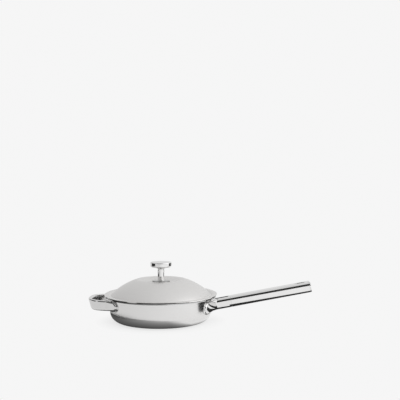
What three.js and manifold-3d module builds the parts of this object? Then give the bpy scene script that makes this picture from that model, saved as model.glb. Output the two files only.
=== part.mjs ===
// Stainless frying pan with a domed lid, a loop helper handle and a slotted tube handle.
// Millimetres, +Z up. The origin is the centre of the pan's underside, and +X runs along the long handle.
import * as THREE from 'three';
import { mergeVertices } from 'three/addons/utils/BufferGeometryUtils.js';
import Module from 'manifold-3d';

const wasm = await Module();
wasm.setup();

const degree = Math.PI / 180;

// Pan body: one outer outline, with three sheets laid inside it
const baseRadius = 97;
const cornerRadius = 26;
const wallLean = 3 * degree;
const wallTop = 56.5;
const lipCurl = 5;
const lipTurn = 114 * degree;
const lipReach = 2.5;
const outerSteel = 0.6;
const coreThickness = 1.55;
const innerSteel = 0.6;
const sheetGap = 0.05;
const roundSteps = 40;
const cornerSteps = 4;
const lipSteps = 5;
const plateLipSteps = 2;

// Lid: heights are above the top of its brim, and a reach is the length of a curve's flat start or end
const lidRadius = 136.5;
const lidThickness = 1;
const lidSeatGap = 0.05;
const knobSeatRadius = 24;
const dishHeight = 28.5;
const dishReach = 14;
const ridgeRadius = 58.4;
const ridgeHeight = 34.9;
const domeReach = 5;
const domeFootReach = 20.5;
const domeFootRise = 22.8;
const beadRadius = 120.6;
const beadDepth = 2;
const beadTurn = 0.08;
const beadReach = 4;
const brimInner = 128;
const brimEdge = 2.5;
const brimDrop = 0.4;

// Knob
const knobBaseRadius = 22;
const knobBaseThickness = 3.5;
const knobBaseShoulder = 5;
const knobBaseCrown = 0.4;
const knobBaseEdge = 0.6;
const stemRadius = 8;
const stemFlare = 3;
const socketRadius = 6;
const socketDepth = 6;
const knobHeadRadius = 26;
const knobHeadThickness = 15.2;
const knobHeadSweep = 6.9;
const knobHeadRise = 2.7;
const knobHeadRound = 5;
const knobHeadEdge = 3;
const knobHeadCrown = 0.6;
const knobTopHeight = 77.3;
const screwRadius = 2.8;
const screwGap = 0.3;
const screwDepth = 14;
const screwTip = 1;
const screwHeadRadius = 6;
const screwHeadHeight = 3;
const washerRadius = 9;
const washerThickness = 1;
const wideSteps = 36;
const narrowSteps = 18;

// Weld plates, and the feet of both handles on them
const plateMargin = 1.5;
const plateThickness = 1.2;
const plateGap = 0.1;
const footGap = 0.2;
const platePoints = 26;
const wallDepth = 45;

// Helper loop: a superellipse in plan, carried by a rounded band section that flares into two feet
const helperHeight = 43.3;
const helperTilt = 2.5 * degree;
const helperLean = 16 * degree;
const helperReach = 167.2;
const helperStart = 112;
const helperSquareness = 3.2;
const helperHalfThickness = 4.2;
const helperHalfHeight = 11.8;
const helperFillet = 10;
const armEnd = 134;
const armSteps = 12;
const bendSteps = 14;
const bandSquareness = 6;
const bandPoints = 18;
const footOffset = 50;
const footHalfWidth = 30;
const footHalfHeight = 14;
const footRise = 1;
const footThickness = 3;
const footSquareness = 3;
const footRun = 12;

// Long handle: lengths run along its tilted axis from the wall
const handleRootX = 123;
const handleRootZ = 38;
const handleTilt = 10.5 * degree;
const handleHalfWidth = 15;
const handleHalfHeight = 12.5;
const handleEdgeWidth = 5;
const handleEdgeHeight = 8;
const neckBendStart = -4;
const neckBendEnd = 17;
const prongStart = 14;
const prongSweep = 8;
const forkEnd = 48;
const gapStart = 9;
const gapEnd = 45;
const gapWidth = 8;
const saddleHalfWidth = 66;
const saddleHalfHeight = 13.3;
const saddleSquareness = 5;
const saddleSwell = 32;
const saddleTip = -12;
const saddleBulge = 8;
const saddleRounding = 14;
const spigotLength = 16;
const tubeWall = 1.5;
const tubeEnd = 241.5;
const pieceGap = 0.3;
const slotCentre = 221.5;
const slotLength = 24;
const slotWidth = 9;
const eyeletWall = 1.5;
const endCapThickness = 3;
const endCapRounding = 1.2;
const endCapSpigot = 4;

const satinSteel = new THREE.MeshStandardMaterial({ color: 0xc9c9c7, roughness: 0.34, metalness: 1 });
const polishedSteel = new THREE.MeshStandardMaterial({ color: 0xd6d6d4, roughness: 0.06, metalness: 1 });
const cookingSteel = new THREE.MeshStandardMaterial({ color: 0xc2c2c0, roughness: 0.28, metalness: 1 });
const aluminium = new THREE.MeshStandardMaterial({ color: 0xb9bcc0, roughness: 0.45, metalness: 1 });
const screwSteel = new THREE.MeshStandardMaterial({ color: 0xa9aaab, roughness: 0.3, metalness: 1 });

const at = (x, y) => new THREE.Vector2(x, y);

// Points along a path, with a number of steps for each of its lines and curves in turn
function pointsAlong(path, steps) {
  return path.curves.flatMap((curve, i) => curve.getPoints(steps[i]).slice(i > 0 ? 1 : 0));
}

// A line of points moved sideways by a distance, to the left of its direction, with mitred corners
function offsetLine(points, distance) {
  const normals = points.slice(1).map((point, i) => {
    const along = point.clone().sub(points[i]).normalize();
    return at(-along.y, along.x);
  });
  return points.map((point, i) => {
    const before = normals[Math.max(i - 1, 0)];
    const after = normals[Math.min(i, normals.length - 1)];
    const mitre = before.clone().add(after).divideScalar(1 + before.dot(after));
    return point.clone().addScaledVector(mitre, distance);
  });
}

// Six times the signed volume of a mesh: negative when its faces point inwards
function signedVolume(geometry) {
  const place = geometry.attributes.position;
  const index = geometry.index;
  const corners = [new THREE.Vector3(), new THREE.Vector3(), new THREE.Vector3()];
  let total = 0;
  for (let i = 0; i < index.count; i += 3) {
    corners.forEach((corner, k) => corner.fromBufferAttribute(place, index.getX(i + k)));
    total += corners[0].dot(corners[1].clone().cross(corners[2]));
  }
  return total;
}

// Shared vertices merged, empty triangles dropped and faces turned outwards
function closedMesh(geometry) {
  const bare = geometry.clone();
  bare.deleteAttribute('normal');
  bare.deleteAttribute('uv');
  const merged = mergeVertices(bare, 1e-4);
  const kept = [];
  const index = merged.index.array;
  for (let i = 0; i < index.length; i += 3) {
    const [a, b, c] = [index[i], index[i + 1], index[i + 2]];
    if (a !== b && b !== c && c !== a) kept.push(a, b, c);
  }
  merged.setIndex(kept);
  if (signedVolume(merged) < 0) merged.setIndex(kept.reverse());
  return merged;
}

function solidOf(geometry) {
  const mesh = closedMesh(geometry);
  const vertProperties = new Float32Array(mesh.attributes.position.array);
  const triVerts = new Uint32Array(mesh.index.array);
  return new wasm.Manifold(new wasm.Mesh({ numProp: 3, vertProperties, triVerts }));
}

function geometryOf(solid) {
  const mesh = solid.getMesh();
  const geometry = new THREE.BufferGeometry();
  geometry.setAttribute('position', new THREE.BufferAttribute(new Float32Array(mesh.vertProperties), 3));
  geometry.setIndex(new THREE.BufferAttribute(new Uint32Array(mesh.triVerts), 1));
  return geometry;
}

// A profile of radius and height turned about the Z axis
function turned(points, steps = roundSteps) {
  const geometry = new THREE.LatheGeometry(points, steps);
  geometry.rotateX(90 * degree);
  return closedMesh(geometry);
}

// A sheet between two lines that lie beside one line at set distances, turned about the Z axis
function turnedSheet(line, from, to) {
  const outside = offsetLine(line, from);
  const inside = offsetLine(line, to).reverse();
  return turned([...outside, ...inside, outside[0]]);
}

// Rings of points joined side by side into a closed skin, with a fan over each end
function loft(rings) {
  const count = rings[0].length;
  const points = rings.flat();
  const faces = [];
  for (let ring = 0; ring < rings.length - 1; ring += 1) {
    for (let k = 0; k < count; k += 1) {
      const a = ring * count + k;
      const b = ring * count + ((k + 1) % count);
      faces.push(a, b, a + count, b, b + count, a + count);
    }
  }
  const last = (rings.length - 1) * count;
  const startCentre = points.length;
  const endCentre = points.length + 1;
  for (const ring of [rings[0], rings[rings.length - 1]]) {
    const centre = ring.reduce((sum, point) => sum.add(point), new THREE.Vector3());
    points.push(centre.divideScalar(count));
  }
  for (let k = 0; k < count; k += 1) {
    const next = (k + 1) % count;
    faces.push(startCentre, next, k, endCentre, last + k, last + next);
  }
  const geometry = new THREE.BufferGeometry().setFromPoints(points);
  geometry.setIndex(faces);
  return closedMesh(geometry);
}

// A plan outline extruded upwards, centred on height 0, with edges rounded by a quarter ellipse if asked
function extruded(shape, height, edgeWidth = 0, edgeHeight = 0, curveSegments = 4) {
  const geometry = new THREE.ExtrudeGeometry(shape, {
    depth: height - 2 * edgeHeight,
    bevelEnabled: edgeWidth > 0,
    bevelSize: edgeWidth,
    bevelOffset: -edgeWidth,
    bevelThickness: edgeHeight,
    bevelSegments: 3,
    curveSegments,
  });
  return geometry.translate(0, 0, edgeHeight - height / 2);
}

// A rectangle with elliptical corners
function roundedRectangle(halfWidth, halfHeight, cornerWidth, cornerHeight) {
  const shape = new THREE.Shape();
  const innerWidth = halfWidth - cornerWidth;
  const innerHeight = halfHeight - cornerHeight;
  const corners = [[1, -1, -90], [1, 1, 0], [-1, 1, 90], [-1, -1, 180]];
  for (const [sideX, sideY, start] of corners) {
    const from = start * degree;
    const to = from + 90 * degree;
    shape.absellipse(sideX * innerWidth, sideY * innerHeight, cornerWidth, cornerHeight, from, to, false, 0);
  }
  shape.closePath();
  return shape;
}

// A signed power, which squares off the sine and cosine of a circle
const squared = (value, power) => Math.sign(value) * Math.abs(value) ** power;

// A squared-off ellipse of half width and half height
function roundedSection(halfWidth, halfHeight, squareness, count) {
  const power = 2 / squareness;
  return Array.from({ length: count }, (unused, k) => {
    const turn = ((k + 0.5) / count) * 2 * Math.PI;
    return at(squared(Math.cos(turn), power) * halfWidth, squared(Math.sin(turn), power) * halfHeight);
  });
}

// An outline with straight sides and round ends, lying along X
function stadium(centre, length, width) {
  const shape = new THREE.Shape();
  const radius = width / 2;
  const reach = length / 2 - radius;
  shape.absarc(centre + reach, 0, radius, -90 * degree, 90 * degree, false);
  shape.absarc(centre - reach, 0, radius, 90 * degree, 270 * degree, false);
  shape.closePath();
  return shape;
}

// Outer outline of the pan, from the axis along the base, round the corner, up the wall and out to the lip
function panLine() {
  const line = new THREE.Path();
  line.moveTo(0, 0);
  line.lineTo(baseRadius, 0);
  line.absarc(baseRadius, cornerRadius, cornerRadius, -90 * degree, -wallLean, false);
  const wallRise = wallTop - line.currentPoint.y;
  const topX = line.currentPoint.x + wallRise * Math.tan(wallLean);
  line.lineTo(topX, wallTop);
  const curlX = topX + lipCurl * Math.cos(wallLean);
  const curlZ = wallTop - lipCurl * Math.sin(wallLean);
  const curlFrom = 180 * degree - wallLean;
  line.absarc(curlX, curlZ, lipCurl, curlFrom, curlFrom - lipTurn, true);
  const heading = wallLean + lipTurn;
  const { x, y } = line.currentPoint;
  line.lineTo(x + lipReach * Math.sin(heading), y + lipReach * Math.cos(heading));
  return pointsAlong(line, [1, cornerSteps, 1, lipSteps, 1]);
}

const panOutline = panLine();
const wallLine = panOutline.slice(cornerSteps + 1, cornerSteps + plateLipSteps + 3);
const panThickness = outerSteel + coreThickness + innerSteel + 2 * sheetGap;
const panTop = Math.max(...offsetLine(panOutline, panThickness).map((point) => point.y));
const brimTop = panTop + lidSeatGap + lidThickness;

// The wall as a deep ring that cuts the feet to the plates' outer face
function seatingRing() {
  return solidOf(turnedSheet(wallLine, -plateGap - plateThickness - footGap, wallDepth));
}

// Weld plate that follows the wall, on the handle's side of the pan or, turned about, on the helper's
function weldPlate(turn, offset, halfWidth, halfHeight, height, squareness) {
  const outline = roundedSection(halfWidth + plateMargin, halfHeight + plateMargin, squareness, platePoints);
  const shape = new THREE.Shape(outline.map((point) => at(offset + point.x, height + point.y)));
  const oval = new THREE.ExtrudeGeometry(shape, { depth: 2 * handleRootX, bevelEnabled: false });
  oval.applyMatrix4(alongX).rotateZ(turn);
  const shell = turnedSheet(wallLine, -plateGap - plateThickness, -plateGap);
  return geometryOf(solidOf(shell).intersect(solidOf(oval)));
}

// Top of the lid as radius and height, from the axis: knob seat, dish, dome, locating bead, brim and edge
function lidLine() {
  const line = new THREE.Path();
  const beadEnd = brimInner - beadReach;
  line.moveTo(screwRadius + screwGap, dishHeight);
  line.lineTo(knobSeatRadius, dishHeight);
  line.bezierCurveTo(knobSeatRadius + dishReach, dishHeight,
    ridgeRadius - dishReach, ridgeHeight, ridgeRadius, ridgeHeight);
  line.bezierCurveTo(ridgeRadius + domeReach, ridgeHeight,
    beadRadius - domeFootReach, domeFootRise - beadDepth, beadRadius, -beadDepth);
  line.bezierCurveTo(beadRadius + beadTurn * domeFootReach, -beadDepth - beadTurn * domeFootRise,
    beadEnd, 0, brimInner, 0);
  line.lineTo(lidRadius - brimEdge, 0);
  line.quadraticCurveTo(lidRadius, 0, lidRadius, -brimDrop);
  return pointsAlong(line, [1, 3, 7, 3, 1, 1]).map((point) => at(point.x, point.y + brimTop));
}

const lidSeat = brimTop + dishHeight;
const knobBaseBottom = lidSeat + sheetGap;
const knobBaseTop = knobBaseBottom + knobBaseThickness;
const knobTop = brimTop + knobTopHeight;
const knobHeadBottom = knobTop - knobHeadThickness;
const screwHole = screwRadius + screwGap;
const washerTop = lidSeat - lidThickness - sheetGap;
const washerBottom = washerTop - washerThickness;

function knobBase() {
  const rim = knobBaseTop - knobBaseCrown;
  const line = new THREE.Path();
  line.moveTo(screwHole, knobBaseBottom);
  line.lineTo(knobBaseRadius - knobBaseEdge, knobBaseBottom);
  line.lineTo(knobBaseRadius, knobBaseBottom + knobBaseEdge);
  line.quadraticCurveTo(knobBaseRadius, rim, knobBaseRadius - knobBaseShoulder, rim);
  line.lineTo(stemRadius + stemFlare, knobBaseTop);
  line.lineTo(screwHole, knobBaseTop);
  line.lineTo(screwHole, knobBaseBottom);
  return turned(line.getPoints(4), wideSteps);
}

// Stem with a threaded bore below and a pin above that sits in the head's socket
function knobStem() {
  const bottom = knobBaseTop + sheetGap;
  const neck = knobHeadBottom - sheetGap;
  const line = new THREE.Path();
  line.moveTo(screwHole, bottom);
  line.lineTo(stemRadius + stemFlare / 2, bottom);
  line.quadraticCurveTo(stemRadius, bottom, stemRadius, bottom + stemFlare);
  line.lineTo(stemRadius, neck - 2 * stemFlare);
  line.quadraticCurveTo(stemRadius, neck, stemRadius + stemFlare, neck);
  line.lineTo(socketRadius, neck);
  line.lineTo(socketRadius, neck + socketDepth);
  line.lineTo(0, neck + socketDepth);
  line.lineTo(0, bottom + screwDepth);
  line.lineTo(screwHole, bottom + screwDepth);
  line.lineTo(screwHole, bottom);
  return turned(line.getPoints(3), narrowSteps);
}

function knobHead() {
  const socket = socketRadius + 2 * sheetGap;
  const socketTop = knobHeadBottom + socketDepth + sheetGap;
  const shoulder = knobTop - knobHeadCrown;
  const rimBottom = knobHeadBottom + knobHeadSweep;
  const line = new THREE.Path();
  line.moveTo(0, socketTop);
  line.lineTo(socket, socketTop);
  line.lineTo(socket, knobHeadBottom);
  line.lineTo(stemRadius + stemFlare, knobHeadBottom);
  line.bezierCurveTo(knobHeadRadius - knobHeadRound, knobHeadBottom + knobHeadRise,
    knobHeadRadius, knobHeadBottom + knobHeadRise, knobHeadRadius, rimBottom);
  line.lineTo(knobHeadRadius, shoulder - knobHeadEdge);
  line.quadraticCurveTo(knobHeadRadius, shoulder, knobHeadRadius - knobHeadEdge, shoulder);
  line.lineTo(0, knobTop);
  return turned(line.getPoints(4), wideSteps);
}

function knobWasher() {
  const inner = [at(screwHole, washerTop), at(screwHole, washerBottom)];
  const outer = [at(washerRadius, washerBottom), at(washerRadius, washerTop)];
  return turned([...inner, ...outer, inner[0]], narrowSteps);
}

function knobScrew() {
  const seat = washerBottom - sheetGap;
  const crown = seat - screwHeadHeight;
  const tip = knobBaseTop + screwDepth - screwGap;
  const line = new THREE.Path();
  line.moveTo(0, crown);
  line.lineTo(screwHeadRadius / 2, crown);
  line.quadraticCurveTo(screwHeadRadius, crown, screwHeadRadius, seat);
  line.lineTo(screwRadius, seat);
  line.lineTo(screwRadius, tip - screwTip);
  line.lineTo(screwRadius - screwTip, tip);
  line.lineTo(0, tip);
  return turned(line.getPoints(3), narrowSteps);
}

// Middle line of the helper loop in plan: two arms that start inside the wall, and the bend between them
function helperLine() {
  const power = 2 / helperSquareness;
  const reach = helperReach - helperStart;
  const armStart = helperStart - footRun;
  const front = Array.from({ length: armSteps }, (unused, i) => {
    const x = armStart + (i / armSteps) * (armEnd - armStart);
    const out = Math.max(x - helperStart, 0) / reach;
    return at(-x, -footOffset * (1 - out ** helperSquareness) ** (1 / helperSquareness));
  });
  const bendFrom = Math.acos(((armEnd - helperStart) / reach) ** (1 / power));
  const bend = Array.from({ length: bendSteps + 1 }, (unused, i) => {
    const turn = ((2 * i) / bendSteps - 1) * bendFrom;
    const x = helperStart + reach * squared(Math.cos(turn), power);
    return at(-x, footOffset * squared(Math.sin(turn), power));
  });
  const rear = front.map((point) => at(point.x, -point.y)).reverse();
  return [...front, ...bend, ...rear];
}

// Distance in X from the pan's axis to the face that a foot sits on, at one distance to the side
const footHeight = helperHeight + footRise;
const footSeatRadius = wallLine[0].x + (footHeight - wallLine[0].y) * Math.tan(wallLean)
  + plateGap + plateThickness + footGap;
const footSeatX = (y) => Math.sqrt(footSeatRadius ** 2 - y ** 2);

// The band swept along that line, leaning outwards at the far end. Each foot follows the wall, with a fillet.
function helperLoop() {
  const line = helperLine();
  const { clamp, lerp } = THREE.MathUtils;
  const rings = line.map((point, i) => {
    const before = line[Math.max(i - 1, 0)];
    const after = line[Math.min(i + 1, line.length - 1)];
    const along = after.clone().sub(before).normalize();
    const clear = -point.x - footSeatX(point.y) - footThickness;
    const toFillet = clamp(1 - clear / helperFillet, 0, 1);
    const flare = 1 - Math.sqrt(1 - toFillet ** 2);
    const halfThickness = lerp(helperHalfThickness, footHalfWidth, flare);
    const halfHeight = lerp(helperHalfHeight, footHalfHeight, flare);
    const squareness = lerp(bandSquareness, footSquareness, flare);
    const height = helperHeight - (point.x + helperStart) * Math.tan(helperTilt) + footRise * flare;
    const lean = along.y ** 2 * (1 - flare) * Math.tan(helperLean);
    return roundedSection(halfThickness, halfHeight, squareness, bandPoints).map((spot) => {
      const y = point.y + along.x * spot.x;
      const outward = lean * spot.y;
      const follow = toFillet * (footSeatX(point.y) - footSeatX(y));
      return new THREE.Vector3(point.x - along.y * spot.x + follow - outward, y, height + spot.y);
    });
  });
  return geometryOf(solidOf(loft(rings)).subtract(seatingRing()));
}

// Turns a shape drawn across the handle, extruded along it, into plan directions
const alongX = new THREE.Matrix4().makeBasis(
  new THREE.Vector3(0, 1, 0), new THREE.Vector3(0, 0, 1), new THREE.Vector3(1, 0, 0));
const handleFrame = new THREE.Matrix4().makeRotationY(-handleTilt).setPosition(handleRootX, 0, handleRootZ);
const handleSection = (margin) => roundedRectangle(handleHalfWidth - margin, handleHalfHeight - margin,
  handleEdgeWidth - margin, handleEdgeHeight - margin);

// A bar of one section between two distances along the handle
function bar(shape, from, to) {
  const settings = { depth: to - from, bevelEnabled: false, curveSegments: 4 };
  const geometry = new THREE.ExtrudeGeometry(shape, settings);
  return solidOf(geometry.translate(0, 0, from).applyMatrix4(alongX));
}

// A solid worked out along the handle, set at the handle's place and tilt
function onHandle(solid) {
  return geometryOf(solid).applyMatrix4(handleFrame);
}

// Height of the level saddle, below the bend that tilts the prongs
const neckBendRadius = (neckBendEnd - neckBendStart) / handleTilt;
const saddleHeight = handleRootZ + neckBendEnd * Math.sin(handleTilt)
  - neckBendRadius * (1 - Math.cos(handleTilt));

// Bends a straight fork behind the prongs, so that its saddle lies level and stands taller at the wall
function bendNeck(geometry) {
  const place = geometry.attributes.position;
  for (let i = 0; i < place.count; i += 1) {
    const back = Math.max(neckBendEnd - place.getX(i), 0);
    const ahead = Math.max(place.getX(i) - neckBendEnd, 0);
    const turn = Math.min(back / neckBendRadius, handleTilt);
    const level = back - turn * neckBendRadius;
    const [sine, cosine] = [Math.sin(turn), Math.cos(turn)];
    const swell = THREE.MathUtils.clamp(1 - place.getX(i) / prongStart, 0, 1);
    const height = place.getZ(i) * THREE.MathUtils.lerp(1, saddleHalfHeight / handleHalfHeight, swell);
    place.setX(i, neckBendEnd + ahead - neckBendRadius * sine - level * cosine + height * sine);
    place.setZ(i, neckBendRadius * (1 - cosine) + level * sine + height * cosine);
  }
  return geometry;
}

// Fork in plan: straight prongs beside a slot, sweeping out along the wall into a feathered saddle
function forkShape() {
  const shape = new THREE.Shape();
  const inWall = saddleTip - handleHalfWidth;
  const pastEnd = forkEnd + 2 * handleEdgeWidth;
  const sweep = prongStart - prongSweep;
  const neckMiddle = (prongStart + neckBendEnd) / 2;
  shape.moveTo(pastEnd, -handleHalfWidth);
  shape.lineTo(pastEnd, handleHalfWidth);
  shape.lineTo(neckBendEnd, handleHalfWidth);
  shape.lineTo(neckMiddle, handleHalfWidth);
  shape.lineTo(prongStart, handleHalfWidth);
  shape.bezierCurveTo(sweep, handleHalfWidth, saddleBulge, saddleSwell, saddleTip, saddleHalfWidth);
  shape.lineTo(inWall, saddleHalfWidth);
  shape.lineTo(inWall, -saddleHalfWidth);
  shape.lineTo(saddleTip, -saddleHalfWidth);
  shape.bezierCurveTo(saddleBulge, -saddleSwell, sweep, -handleHalfWidth, prongStart, -handleHalfWidth);
  shape.lineTo(neckMiddle, -handleHalfWidth);
  shape.lineTo(neckBendEnd, -handleHalfWidth);
  shape.closePath();
  shape.holes.push(stadium((gapStart + gapEnd) / 2, gapEnd - gapStart, gapWidth));
  return shape;
}

// The plan with rounded edges, its saddle's tips rounded off, and a spigot that carries the tube
function handleFork() {
  const plan = solidOf(extruded(forkShape(), 2 * handleHalfHeight, handleEdgeWidth, handleEdgeHeight, 6));
  const oval = roundedRectangle(saddleHalfWidth, handleHalfHeight, saddleRounding, handleHalfHeight);
  const rounded = plan.intersect(bar(oval, saddleTip - 2 * handleHalfWidth, forkEnd));
  const spigot = bar(handleSection(tubeWall + pieceGap), forkEnd - spigotLength / 8, forkEnd + spigotLength);
  const fork = solidOf(bendNeck(geometryOf(rounded))).add(spigot);
  return geometryOf(solidOf(onHandle(fork)).subtract(seatingRing()));
}

function slotCutter(margin) {
  const shape = stadium(slotCentre, slotLength + 2 * margin, slotWidth + 2 * margin);
  return solidOf(extruded(shape, 4 * handleHalfHeight));
}

function handleTube() {
  const from = forkEnd + pieceGap;
  const outside = bar(handleSection(0), from, tubeEnd);
  const inside = bar(handleSection(tubeWall), from - 1, tubeEnd + 1);
  return onHandle(outside.subtract(inside).subtract(slotCutter(eyeletWall + pieceGap)));
}

// Sleeve that lines the hanging slot, cut level with the tube's top and bottom
function hangingEyelet() {
  const outside = bar(handleSection(0), slotCentre - slotLength, slotCentre + slotLength);
  return onHandle(outside.intersect(slotCutter(eyeletWall)).subtract(slotCutter(0)));
}

// End plate with a rounded rim, and a spigot that fits inside the tube
function handleEndCap() {
  const from = tubeEnd + pieceGap;
  const plate = extruded(handleSection(0), 2 * endCapThickness, endCapRounding, endCapRounding);
  plate.translate(0, 0, from).applyMatrix4(alongX);
  const outer = bar(handleSection(-1), from, from + 2 * endCapThickness);
  const spigot = bar(handleSection(tubeWall + pieceGap), tubeEnd - endCapSpigot, from + endCapThickness / 2);
  return onHandle(solidOf(plate).intersect(outer).add(spigot));
}

const pan = new THREE.Group();
const lid = new THREE.Group();
const fryingPan = new THREE.Group();
fryingPan.add(pan, lid);

function addPiece(group, name, geometry, material) {
  const mesh = new THREE.Mesh(closedMesh(geometry), material);
  mesh.name = name;
  group.add(mesh);
}

const coreFrom = outerSteel + sheetGap;
const skinFrom = coreFrom + coreThickness + sheetGap;
const helperFoot = [footHalfWidth, footHalfHeight, footHeight, footSquareness];
const saddlePlate = weldPlate(0, 0, saddleHalfWidth, saddleHalfHeight, saddleHeight, saddleSquareness);
addPiece(pan, 'pan_outer_shell', turnedSheet(panOutline, 0, outerSteel), satinSteel);
addPiece(pan, 'pan_core', turnedSheet(panOutline, coreFrom, coreFrom + coreThickness), aluminium);
addPiece(pan, 'pan_cooking_skin', turnedSheet(panOutline, skinFrom, skinFrom + innerSteel), cookingSteel);
addPiece(pan, 'helper_loop', helperLoop(), polishedSteel);
addPiece(pan, 'helper_plate_front', weldPlate(180 * degree, footOffset, ...helperFoot), polishedSteel);
addPiece(pan, 'helper_plate_rear', weldPlate(180 * degree, -footOffset, ...helperFoot), polishedSteel);
addPiece(pan, 'handle_fork', handleFork(), polishedSteel);
addPiece(pan, 'fork_saddle_plate', saddlePlate, polishedSteel);
addPiece(pan, 'handle_tube', handleTube(), polishedSteel);
addPiece(pan, 'hanging_eyelet', hangingEyelet(), polishedSteel);
addPiece(pan, 'handle_end_cap', handleEndCap(), polishedSteel);
addPiece(lid, 'lid_shell', turnedSheet(lidLine(), 0, -lidThickness), satinSteel);
addPiece(lid, 'knob_base', knobBase(), polishedSteel);
addPiece(lid, 'knob_stem', knobStem(), polishedSteel);
addPiece(lid, 'knob_head', knobHead(), polishedSteel);
addPiece(lid, 'knob_washer', knobWasher(), screwSteel);
addPiece(lid, 'knob_screw', knobScrew(), screwSteel);

export default fryingPan;
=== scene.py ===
import math

import bmesh
import bpy
import numpy as np
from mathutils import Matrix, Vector


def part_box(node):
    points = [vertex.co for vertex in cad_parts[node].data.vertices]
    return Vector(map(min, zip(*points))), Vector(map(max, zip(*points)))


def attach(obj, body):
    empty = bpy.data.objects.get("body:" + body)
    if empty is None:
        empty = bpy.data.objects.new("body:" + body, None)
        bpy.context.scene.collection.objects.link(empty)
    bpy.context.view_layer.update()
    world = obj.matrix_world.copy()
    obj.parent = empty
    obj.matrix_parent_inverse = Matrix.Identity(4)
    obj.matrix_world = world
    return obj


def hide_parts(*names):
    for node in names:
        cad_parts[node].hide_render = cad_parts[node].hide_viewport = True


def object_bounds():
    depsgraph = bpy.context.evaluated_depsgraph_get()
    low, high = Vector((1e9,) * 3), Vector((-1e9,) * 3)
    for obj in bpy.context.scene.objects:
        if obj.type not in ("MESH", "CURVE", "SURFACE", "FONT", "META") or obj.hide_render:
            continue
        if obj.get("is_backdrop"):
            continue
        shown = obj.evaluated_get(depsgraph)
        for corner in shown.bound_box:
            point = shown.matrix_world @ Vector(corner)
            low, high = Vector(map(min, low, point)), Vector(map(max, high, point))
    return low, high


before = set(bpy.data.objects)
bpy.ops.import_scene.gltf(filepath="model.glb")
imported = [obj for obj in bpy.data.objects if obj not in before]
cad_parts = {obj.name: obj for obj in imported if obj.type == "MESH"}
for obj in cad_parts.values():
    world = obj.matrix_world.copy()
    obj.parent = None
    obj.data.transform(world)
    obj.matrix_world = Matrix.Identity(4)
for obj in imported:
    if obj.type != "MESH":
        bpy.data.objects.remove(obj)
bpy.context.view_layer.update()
print("frame in:", len(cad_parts), "nodes")

# lengths in the dictionaries below are mm and angles are degrees, unless a note says otherwise


# low and high corner of a CAD node's box, in mm
def boxOf(node):
    low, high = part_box(node)
    return np.array(low) * 1000, np.array(high) * 1000


class Wire:  # output of a node; arithmetic on it adds Math nodes
    def __init__(self, tree, socket=None):
        self.tree = tree
        self.socket = socket

    def node(self, kind, settings, sockets, output=0):
        made = self.tree.nodes.new(kind)
        for name, value in settings.items():
            setattr(made, name, value)
        for name, value in sockets.items():
            if isinstance(value, Wire):
                self.tree.links.new(value.socket, made.inputs[name])
            else:
                made.inputs[name].default_value = value
        return Wire(self.tree, made.outputs[output] if made.outputs else None)

    def math(self, operation, first, second=0.0):
        return self.node("ShaderNodeMath", {"operation": operation}, {0: first, 1: second})

    def __add__(self, other):
        return self.math("ADD", self, other)

    def __sub__(self, other):
        return self.math("SUBTRACT", self, other)

    def __rsub__(self, other):
        return self.math("SUBTRACT", other, self)

    def __mul__(self, other):
        return self.math("MULTIPLY", self, other)

    def __truediv__(self, other):
        return self.math("DIVIDE", self, other)

    def __rtruediv__(self, other):
        return self.math("DIVIDE", other, self)

    __radd__ = __add__
    __rmul__ = __mul__

    def root(self):
        return self.math("SQRT", self)

    def clamped(self):
        return self.node("ShaderNodeClamp", {}, {"Value": self})

    def parts(self):
        return [self.node("ShaderNodeSeparateXYZ", {}, {0: self}, axis) for axis in "XYZ"]

    def noise(self, place, scale, detail):
        return self.node("ShaderNodeTexNoise", {"noise_dimensions": "3D"},
                         {"Vector": place, "Scale": scale, "Detail": detail})

    def mixed(self, mask, first, second):
        return self.node("ShaderNodeMix", {"data_type": "RGBA"}, {0: mask, 6: first, 7: second}, 2)


def newMaterial(name):
    material = bpy.data.materials.new(name)
    material.use_nodes = True
    material.node_tree.nodes.clear()
    return material, Wire(material.node_tree)


def grey(level, warm=0.0):
    return (level + warm, level, level - warm, 1.0)


# steel spun on a lathe: lines on circles round Z, from noise over (cos a, sin a, way along the profile)
def spunSteel(name, finish):
    material, wire = newMaterial(name)
    place = wire.node("ShaderNodeTexCoord", {}, {}, "Object")
    x, y, z = place.parts()
    radius = (x * x + y * y + 1e-8).root()  # the small term keeps the axis from dividing by nothing
    way = radius + z * finish["climb"]
    spot = wire.node("ShaderNodeCombineXYZ", {}, {
        0: x / radius * finish["arc"], 1: y / radius * finish["arc"], 2: way * finish["lines"]})
    lines = wire.noise(spot, 1.0, finish["lineDetail"])
    cloud = wire.noise(place, finish["cloudScale"], finish["cloudDetail"])
    blend = lines * finish["lineShare"] + cloud * (1 - finish["lineShare"])
    tone = wire.mixed(blend, grey(finish["dark"], finish["warm"]), grey(finish["light"], finish["warm"]))
    rough = lines * finish["roughSpread"] + cloud * finish["roughCloud"] + finish["rough"]
    bright = ((radius - finish["burnishFrom"]) / finish["burnishRun"]).clamped()
    rough = rough + bright * (finish["burnish"] - rough)
    bump = wire.node("ShaderNodeBump", {}, {
        "Strength": 1.0, "Distance": finish["groove"], "Height": lines})
    surface = wire.node("ShaderNodeBsdfPrincipled", {}, {
        "Base Color": tone, "Metallic": 1.0, "Roughness": rough, "Normal": bump})
    wire.node("ShaderNodeOutputMaterial", {}, {"Surface": surface})
    return material


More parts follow.
